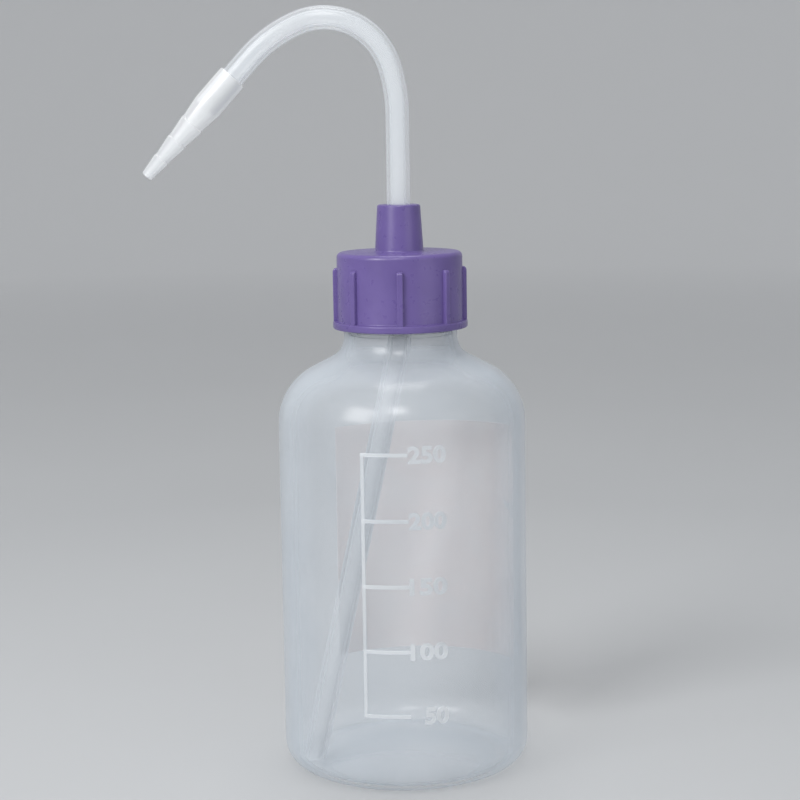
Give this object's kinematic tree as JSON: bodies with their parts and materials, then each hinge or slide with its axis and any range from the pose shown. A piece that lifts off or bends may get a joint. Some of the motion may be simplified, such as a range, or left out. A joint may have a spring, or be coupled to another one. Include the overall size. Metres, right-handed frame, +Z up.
{
  "type": "wash bottle",
  "caption": "Squeeze wash bottle with a translucent body, moulded volume scale, ribbed screw cap, hooked delivery tube and stepped nozzle tip.",
  "frame": {"origin": "centre of the base on the plane that the bottle stands on", "axes": "+Z up along the bottle's axis; -Y is the front, where the moulded scale is; the spout hooks over towards -X"},
  "size_m": [0.0974, 0.0648, 0.1966],
  "materials": {
    "bottle_plastic": "milky translucent soft polyethylene",
    "cap_plastic": "satin violet moulded plastic",
    "washer_foam": "white foamed plastic sheet",
    "tube_plastic": "translucent soft tube",
    "nozzle_plastic": "milky moulded soft plastic",
    "label_paper": "bare matt paper"
  },
  "bodies": {
    "bottle": {"bottle": "bottle_plastic", "back_label": "label_paper"},
    "seal": {"sealing_washer": "washer_foam"},
    "cap": {"screw_cap": "cap_plastic"},
    "spout": {"delivery_tube": "tube_plastic", "nozzle_tip": "nozzle_plastic"}
  },
  "joints": [
    {"name": "cap_lift", "type": "slide", "parent": "bottle", "child": "seal", "axis": [0, 0, 1], "range_m": [0, 0.0048]},
    {"name": "cap_turn", "type": "hinge", "parent": "seal", "child": "cap", "pos_m": [0, 0, 0.1325], "axis": [0, 0, 1], "range_deg": [0, 540]},
    {"name": "tube_swivel", "type": "hinge", "parent": "cap", "child": "spout", "pos_m": [0, 0, 0.14], "axis": [0, 0, 1], "continuous": true}
  ],
  "couplings": [
    {"joint": "cap_lift", "follows": "cap_turn", "m_per_rad": 0.00050929}
  ]
}
